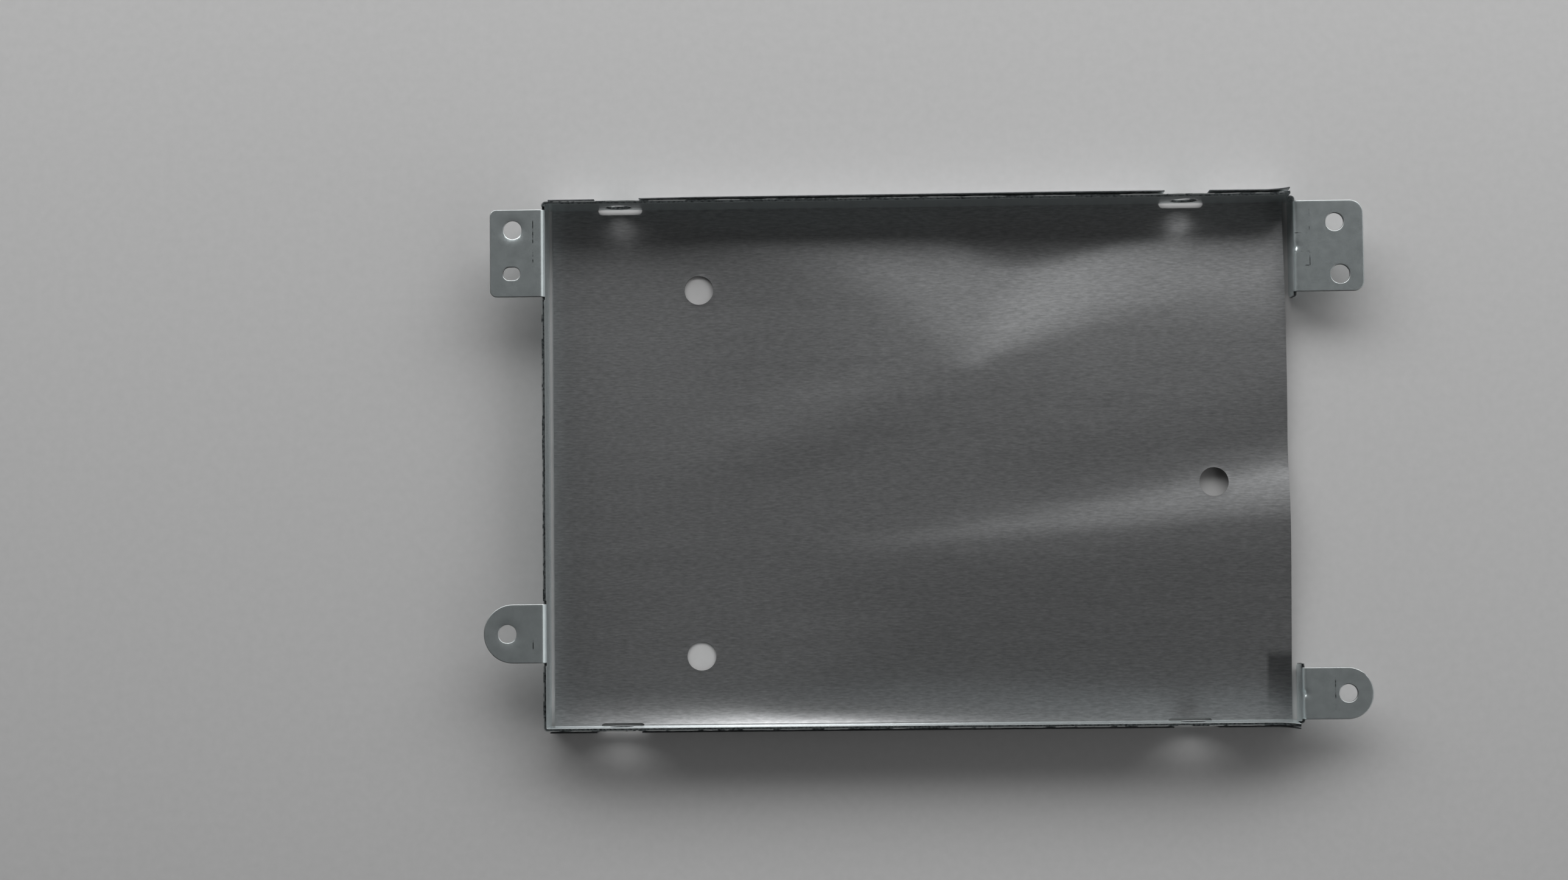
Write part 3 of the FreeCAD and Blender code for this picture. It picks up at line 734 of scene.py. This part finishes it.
def shield_blank():
    """The shield: u runs east, v runs across the sheet from the south flange's top to the north one's.

    Across, the sheet is a flange, a quarter fold, the floor, a quarter fold and the other flange.
    """
    mid_r = FOLD_R + SHIELD / 2
    flange_y = FLANGE_INNER + SHIELD / 2
    floor_z = SHIELD / 2
    turn = np.linspace(0, math.pi / 2, FOLD_POINTS)
    fold_y = flange_y - mid_r + mid_r * np.sin(turn)
    fold_z = floor_z + mid_r - mid_r * np.cos(turn)
    path_y = np.concatenate([[-flange_y], -fold_y[::-1], fold_y, [flange_y]])
    path_z = np.concatenate([[FLANGE_TOP], fold_z[::-1], fold_z, [FLANGE_TOP]])
    run = np.concatenate([[0], np.cumsum(np.hypot(np.diff(path_y), np.diff(path_z)))])
    run -= run[-1] / 2

    holes = [Hole(x, y, 0, FLOOR_HOLE_R, FLOOR_HOLE_BLOCK, FLOOR_HOLE_REACH) for x, y in FLOOR_HOLES]
    fills = []
    for x in SCREW_X:
        for side in (-1, 1):
            fills.append(Corner(x + side * NOTCH_HALF, NOTCH_NORTH, -side, 1, NOTCH_R))
            fills.append(Corner(x + side * NOTCH_HALF, NOTCH_SOUTH, -side, -1, NOTCH_R))
    u_stops = [[SHIELD_WEST, SHIELD_EAST], np.linspace(FLARE_START, SHIELD_EAST, FLARE_POINTS)]
    v_stops = [run]
    for hole in holes:
        u_stops.append(hole_stops(hole.u, hole.block, hole.reach))
        v_stops.append(hole_stops(hole.v, hole.block, hole.reach))
    for fill in fills:
        u_stops.append(fill.u + fill.side_u * np.linspace(0, fill.radius, FILL_POINTS))
        v_stops.append(fill.v + fill.side_v * np.linspace(0, fill.radius, FILL_POINTS))
    us = grid_lines(u_stops, SHIELD_STEP)
    vs = grid_lines(v_stops, SHIELD_STEP)

    def keep(u, v):
        """Everything but the notches at the four screws."""
        beside = np.minimum(np.abs(u - SCREW_X[0]), np.abs(u - SCREW_X[1])) < NOTCH_HALF
        return ~(beside & ((v > NOTCH_NORTH) | (v < NOTCH_SOUTH)))

    flat, quads, _ = weld([patch(us, vs, keep, holes, fills=fills)])
    x, v = flat.T
    y = np.interp(v, run, path_y)
    z = np.interp(v, run, path_z)

    # Flanges: sprung out at their east end as a square, and bellied to the north as they rise
    fold_top = floor_z + 2 * FOLD_R
    rise = np.clip((z - fold_top) / (FLANGE_TOP - fold_top), 0, 1)
    along = np.clip((x - FLARE_START) / (SHIELD_EAST - FLARE_START), 0, 1)
    y = y + np.sign(y) * FLANGE_FLARE * along ** 2 * rise
    y = y + np.where(y > 0, FLANGE_BELLY * np.interp(x, BELLY_X, BELLY_SHARE) * rise, 0)
    edge = np.where(y < 0, curl(x) * (1 - rise), 0)
    z = z + np.where(np.abs(v) < fold_y[0], floor_wave(x, y), edge)
    return np.stack([x, y, z], 1), quads, flat


def linear(code):
    """An sRGB hex value as a linear colour."""
    parts = np.array([int(code[k:k + 2], 16) for k in (1, 3, 5)]) / 255
    values = np.where(parts <= 0.04045, parts / 12.92, ((parts + 0.055) / 1.055) ** 2.4)
    return (*values.tolist(), 1.0)


def repeats(size):
    """The scale of a pattern whose features have a size in millimetres: how many fit into a metre."""
    return PER_METRE / size


def add(tree, kind, inputs=(), **settings):
    """Adds a node: settings are its properties, and each input is a value or the output it is linked to.

    Inputs are named, or numbered where names repeat. A MapRange has its value at 0, the range it comes from
    at 1 and 2, and the range it goes to at 3 and 4. A Mix has its factor at 0 and its two values at 2 and
    3, or at 6 and 7 for colours, with the mixed colour at output 2.
    """
    made = tree.nodes.new("ShaderNode" + kind)
    for key, value in settings.items():
        setattr(made, key, value)
    for key, value in dict(inputs).items():
        if isinstance(value, bpy.types.NodeSocket):
            tree.links.new(value, made.inputs[key])
        else:
            made.inputs[key].default_value = value
    return made


def new_material(name):
    """An empty node material, and its tree."""
    material = bpy.data.materials.new(name)
    material.use_nodes = True
    material.node_tree.nodes.clear()
    return material, material.node_tree


def finish_material(tree, shader):
    """Links the shader to the material's output."""
    add(tree, "OutputMaterial", {"Surface": shader.outputs[0]})


def brushed_aluminium():
    """Thin mill-rolled aluminium, brushed along its length: highlights drawn out across the brush lines."""
    material, tree = new_material("brushed_aluminium_sheet")
    place = add(tree, "TexCoord").outputs["Object"]
    # Brush lines about 1 mm long and 0.2 mm wide, coarser than the real grit so that they show
    brush = (repeats(20 / 19), repeats(5 / 24), repeats(5 / 24))
    lines_at = add(tree, "Mapping", {"Vector": place, "Scale": brush}).outputs[0]
    lines = add(tree, "TexNoise", {
        "Vector": lines_at, "Scale": 1.0, "Detail": 3.0, "Roughness": 0.6}).outputs[0]
    # Rolling streaks about 15 mm long and 1.5 mm wide
    rolling = (repeats(200 / 13), repeats(20 / 13), repeats(20 / 13))
    streaks_at = add(tree, "Mapping", {"Vector": place, "Scale": rolling}).outputs[0]
    streaks = add(tree, "TexNoise", {"Vector": streaks_at, "Scale": 1.0, "Detail": 2.0}).outputs[0]
    tone = add(tree, "Mix", {0: lines, 6: linear("#8b8d8f"), 7: linear("#e6e7e8")},
               data_type="RGBA").outputs[2]
    # Painted shade: a dark patch on the floor beside the south-east return, crisp to the west and fading
    # southward
    apart = add(tree, "SeparateXYZ", {0: place}).outputs
    (west, west_full), (south, south_full), (north, north_full) = (
        np.array(ends) / PER_METRE for ends in (RETURN_SHADE_FROM_WEST, RETURN_SHADE_FROM_SOUTH, RETURN_SHADE_FROM_NORTH))
    from_west = add(tree, "MapRange", {0: apart[0], 1: west, 2: west_full}).outputs[0]
    from_south = add(tree, "MapRange", {0: apart[1], 1: south, 2: south_full, 3: 0.0, 4: RETURN_SHADE}).outputs[0]
    from_north = add(tree, "MapRange", {0: apart[1], 1: north, 2: north_full}).outputs[0]
    painted_shade = add(tree, "Math", {0: from_west, 1: from_south}, operation="MULTIPLY").outputs[0]
    painted_shade = add(tree, "Math", {0: painted_shade, 1: from_north}, operation="MULTIPLY").outputs[0]
    # The painted shade of the return darkens the floor's colour here
    tone = add(tree, "Mix", {0: painted_shade, 6: tone, 7: linear("#4c4e50")}, data_type="RGBA").outputs[2]
    gloss = add(tree, "MapRange", {0: streaks, 1: 0.3, 2: 0.7, 3: 0.287, 4: 0.299}).outputs[0]
    grain = add(tree, "Bump", {"Strength": 0.12, "Distance": 0.00002, "Height": lines}).outputs[0]
    across = add(tree, "Tangent", direction_type="UV_MAP", uv_map="blank").outputs[0]
    shader = add(tree, "BsdfPrincipled", {
        "Base Color": tone, "Metallic": 0.94, "Roughness": gloss, "Anisotropic": 0.5,
        "Anisotropic Rotation": 0.25, "Normal": grain, "Tangent": across})
    finish_material(tree, shader)
    return material


def zinc_steel():
    """Electro-galvanised steel sheet: a matte blue-grey skin with a faint mottle."""
    material, tree = new_material("electro_galvanised_steel_sheet")
    place = add(tree, "TexCoord").outputs["Object"]
    # Mottle of the zinc skin: patches of 1.25 mm, and grains of 0.2 mm
    patches = add(tree, "TexNoise", {"Vector": place, "Scale": repeats(1.25), "Detail": 3.0}).outputs[0]
    grains = add(tree, "TexNoise", {"Vector": place, "Scale": repeats(0.2), "Detail": 2.0}).outputs[0]
    mottle = add(tree, "Mix", {0: 0.5, 2: patches, 3: grains}, data_type="FLOAT").outputs[0]
    tone = add(tree, "MapRange", {0: mottle, 1: 0.35, 2: 0.65}).outputs[0]
    skin = add(tree, "Mix", {0: tone, 6: linear("#c6cfd0"), 7: linear("#d2dbdc")},
               data_type="RGBA").outputs[2]
    # Rubbed lines of the bending tool, 0.1 mm wide, broken over about 0.8 mm
    apart = add(tree, "SeparateXYZ", {0: place}).outputs
    broken = add(tree, "TexNoise", {"Vector": place, "Scale": repeats(10 / 13), "Detail": 2.0}).outputs[0]
    gaps = add(tree, "MapRange", {0: broken, 1: 0.45, 2: 0.6}).outputs[0]
    lines = 0.0
    for x, y, half_x, half_y in np.array(SCUFFS) / PER_METRE:
        in_x = add(tree, "Math", {0: apart[0], 1: x, 2: half_x}, operation="COMPARE").outputs[0]
        in_y = add(tree, "Math", {0: apart[1], 1: y, 2: half_y}, operation="COMPARE").outputs[0]
        lines = add(tree, "Math", {0: in_x, 1: in_y, 2: lines}, operation="MULTIPLY_ADD").outputs[0]
    scuffed = add(tree, "Math", {0: lines, 1: gaps}, operation="MULTIPLY").outputs[0]
    skin = add(tree, "Mix", {0: scuffed, 6: skin, 7: linear("#4c5051")}, data_type="RGBA").outputs[2]
    gloss = add(tree, "MapRange", {0: mottle, 1: 0.35, 2: 0.65, 3: 0.23, 4: 0.27}).outputs[0]
    tooth = add(tree, "Bump", {"Strength": 0.1, "Distance": 0.00002, "Height": grains}).outputs[0]
    shader = add(tree, "BsdfPrincipled", {
        "Base Color": skin, "Metallic": 0.82, "Roughness": gloss, "Normal": tooth})
    finish_material(tree, shader)
    return material


def sheared_steel():
    """Sheared edge of the steel sheet.

    It is bright where the punch drew it over, then torn and dull, with a bright burr that comes and goes.
    The near-black of the torn band is painted reflection of the dark room overhead, on top of its dull grey.
    """
    material, tree = new_material("sheared_steel_edge")
    place = add(tree, "TexCoord").outputs["Object"]
    edge = add(tree, "UVMap", uv_map="edge").outputs[0]
    height = add(tree, "SeparateXYZ", {0: edge}).outputs[1]
    # Torn grain of about 0.3 mm, and burrs that come and go over 2 mm
    torn = add(tree, "TexNoise", {"Vector": place, "Scale": repeats(1 / 3), "Detail": 3.0}).outputs[0]
    broken = add(tree, "TexNoise", {"Vector": place, "Scale": repeats(2), "Detail": 3.0}).outputs[0]
    drawn = add(tree, "MapRange", {0: height, 1: 0.12, 2: 0.06}).outputs[0]
    burr = add(tree, "MapRange", {0: height, 1: 0.68, 2: 0.76}).outputs[0]
    stretches = add(tree, "MapRange", {0: broken, 1: 0.47, 2: 0.53}).outputs[0]
    burr = add(tree, "Math", {0: burr, 1: stretches}, operation="MULTIPLY").outputs[0]
    bright = add(tree, "Math", {0: drawn, 1: burr}, operation="MAXIMUM").outputs[0]
    # Painted reflection: the torn band is near black, darker than dull steel, for the dark room overhead
    # that it mirrors
    dark = add(tree, "MapRange", {0: torn, 1: 0.35, 2: 0.65}).outputs[0]
    dark = add(tree, "Mix", {0: dark, 6: linear("#26292a"), 7: linear("#5a5f60")},
               data_type="RGBA").outputs[2]
    tone = add(tree, "Mix", {0: bright, 6: dark, 7: linear("#b0b4b4")}, data_type="RGBA").outputs[2]
    gloss = add(tree, "MapRange", {0: bright, 3: 0.6, 4: 0.4}).outputs[0]
    shader = add(tree, "BsdfPrincipled", {"Base Color": tone, "Metallic": 1.0, "Roughness": gloss})
    finish_material(tree, shader)
    return material


def sheared_aluminium():
    """Sheared edge of the aluminium sheet: dull and dark beside the brushed faces."""
    material, tree = new_material("sheared_aluminium_edge")
    place = add(tree, "TexCoord").outputs["Object"]
    # Torn grain of about 0.3 mm
    torn = add(tree, "TexNoise", {"Vector": place, "Scale": repeats(1 / 3), "Detail": 3.0}).outputs[0]
    # Painted reflection: the dark tone stands for the dark room overhead that the edge mirrors, on top of
    # its dull grey
    tone = add(tree, "Mix", {0: torn, 6: linear("#303234"), 7: linear("#6c6e70")},
               data_type="RGBA").outputs[2]
    shader = add(tree, "BsdfPrincipled", {"Base Color": tone, "Metallic": 1.0, "Roughness": 0.5})
    finish_material(tree, shader)
    return material


def pale_table():
    """Matte laminate table top, plain pale grey with specks of about 1.1 mm."""
    material, tree = new_material("matte_laminate_table")
    place = add(tree, "TexCoord").outputs["Object"]
    speck = add(tree, "TexNoise", {"Vector": place, "Scale": repeats(10 / 9), "Detail": 2.0}).outputs[0]
    tone = add(tree, "Mix", {0: speck, 6: linear("#b0b0b0"), 7: linear("#b8b8b8")},
               data_type="RGBA").outputs[2]
    shader = add(tree, "BsdfPrincipled", {"Base Color": tone, "Roughness": 0.7})
    finish_material(tree, shader)
    return material


def panel(name, place, aim, width, height, watts, fade):
    """A soft rectangular light at a place in metres, turned towards its aim. It isn't seen itself.

    Over the share of its height that fade gives, it dims to nothing at its upper edge.
    """
    data = bpy.data.lights.new(name, "AREA")
    data.shape = "RECTANGLE"
    data.size = width
    data.size_y = height
    data.energy = watts
    data.use_nodes = True
    tree = data.node_tree
    height_share = add(tree, "SeparateXYZ", {0: add(tree, "NewGeometry").outputs["Parametric"]}).outputs[1]
    dim = add(tree, "MapRange", {0: height_share, 1: 1 - fade, 2: 1.0, 3: 1.0, 4: 0.0},
              interpolation_type="SMOOTHSTEP")
    tree.links.new(dim.outputs[0], tree.nodes["Emission"].inputs["Strength"])
    light = bpy.data.objects.new(name, data)
    light.location = place
    way = np.array(aim) - np.array(place)
    flat_run = math.hypot(way[0], way[1])
    light.rotation_euler = (math.pi / 2 + math.atan2(way[2], flat_run), 0, math.atan2(-way[0], way[1]))
    light.visible_camera = False
    bpy.context.collection.objects.link(light)


# Pieces
steel_middle, steel_quads, steel_flat = frame_blank()
bracket = thick_sheet("bent_frame", steel_middle, steel_quads, steel_flat, STEEL, STEEL_RIM)
bracket.data.materials.append(zinc_steel())
bracket.data.materials.append(sheared_steel())
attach(bracket, "root")
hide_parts("steel_frame")

shield_middle, shield_quads, shield_flat = shield_blank()
shield = thick_sheet("folded_shield", shield_middle, shield_quads, shield_flat, SHIELD, SHIELD_RIM)
shield.data.materials.append(brushed_aluminium())
shield.data.materials.append(sheared_aluminium())
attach(shield, "root")
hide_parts("bottom_shield")

# Table, in metres: a plain square just below the shield
TABLE_HALF = 3.0
TABLE_Z = -0.00003
table_mesh = bpy.data.meshes.new("table")
table_plan = np.array([[-1, -1], [1, -1], [1, 1], [-1, 1]]) * TABLE_HALF
table_mesh.from_pydata(np.column_stack([table_plan, np.full(4, TABLE_Z)]), [], [(0, 1, 2, 3)])
table = bpy.data.objects.new("table", table_mesh)
bpy.context.collection.objects.link(table)
table_mesh.materials.append(pale_table())

# Lights: a window to the north that dims upward, a window to the east, and a dim room
panel("window_north", place=(0.0, 0.398, 0.341), aim=(0, -0.03, 0.042), width=1.3, height=0.364, watts=8.0,
      fade=0.66)
panel("window_east", place=(0.84, 0.05, 0.545), aim=(0, 0, 0), width=1.8, height=0.95, watts=3.7, fade=0.01)

# Room: its strength at the horizon and overhead, and the upward share of a direction where overhead starts
HORIZON = 0.24
OVERHEAD = 0.03
OVERHEAD_FROM = 0.85
world = bpy.data.worlds.new("dim_room")
world.use_nodes = True
sky = world.node_tree
sky_up = add(sky, "SeparateXYZ", {0: add(sky, "TexCoord").outputs["Generated"]}).outputs[2]
sky_light = add(sky, "MapRange", {0: sky_up, 1: 0.0, 2: OVERHEAD_FROM, 3: HORIZON, 4: OVERHEAD},
                interpolation_type="SMOOTHSTEP").outputs[0]
sky.links.new(sky_light, sky.nodes["Background"].inputs["Strength"])
sky.nodes["Background"].inputs["Color"].default_value = (1, 1, 1, 1)
bpy.context.scene.world = world
bpy.context.scene.view_settings.view_transform = "Standard"

# Camera, fitted to the wall edges: 352 mm above the table and almost straight down
lens = bpy.data.cameras.new("camera")
lens.sensor_width = 36
lens.lens = 59.35
camera = bpy.data.objects.new("camera", lens)
camera.location = (-0.01265, -0.01593, 0.35175)
camera.rotation_euler = (math.radians(3.137), math.radians(0.988), math.radians(-0.577))
bpy.context.collection.objects.link(camera)
bpy.context.scene.camera = camera
